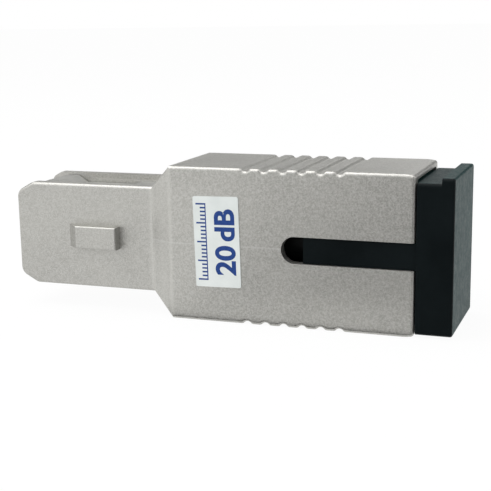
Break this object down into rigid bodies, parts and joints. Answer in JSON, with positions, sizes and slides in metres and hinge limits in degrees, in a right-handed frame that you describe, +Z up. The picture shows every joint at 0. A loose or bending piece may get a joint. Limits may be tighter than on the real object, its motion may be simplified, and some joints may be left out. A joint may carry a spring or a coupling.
{
  "type": "fibre attenuator",
  "caption": "Plug-to-socket push-pull fibre attenuator: metal housing with plug plates, key slot, grip grooves, ferrule and dust cap.",
  "frame": {"origin": "on the optical axis, at the plane of the plug plates' front ends", "axes": "+X from the plug to the socket, +Z up across the wide section, the labelled face towards -Y"},
  "size_m": [0.0393, 0.0094, 0.013],
  "materials": {
    "plated_casting": "satin nickel plate on a zinc casting, fine grain",
    "plated_frame": "satin nickel plate",
    "label_paper": "smooth white sticker with blue print",
    "ferrule_ceramic": "polished white ceramic",
    "fibre_glass": "clear doped glass",
    "collar_plastic": "moulded",
    "spring_steel": "drawn stainless wire",
    "stop_brass": "turned",
    "holder_plastic": "moulded",
    "cap_plastic": "soft black moulding"
  },
  "bodies": {
    "housing": {"outer_housing": "plated_casting", "label": "label_paper"},
    "core": {"plug_frame": "plated_frame", "spring_stop": "stop_brass", "split_sleeve": "ferrule_ceramic", "sleeve_holder": "holder_plastic", "ferrule_spring": "spring_steel"},
    "ferrule_unit": {"ferrule": "ferrule_ceramic", "attenuating_fibre": "fibre_glass", "ferrule_collar": "collar_plastic"},
    "cap": {"dust_cap": "cap_plastic"}
  },
  "joints": [
    {"name": "push_pull", "type": "slide", "parent": "housing", "child": "core", "axis": [-1, 0, 0], "range_m": [0, 0.0015]},
    {"name": "ferrule_float", "type": "slide", "parent": "core", "child": "ferrule_unit", "axis": [1, 0, 0], "range_m": [0, 0.0012], "stiffness_N_per_m": 3000, "springref_m": -0.003, "deforming": ["ferrule_spring"]},
    {"name": "cap_pull", "type": "slide", "parent": "housing", "child": "cap", "axis": [1, 0, 0], "range_m": [0, 0.03]}
  ]
}
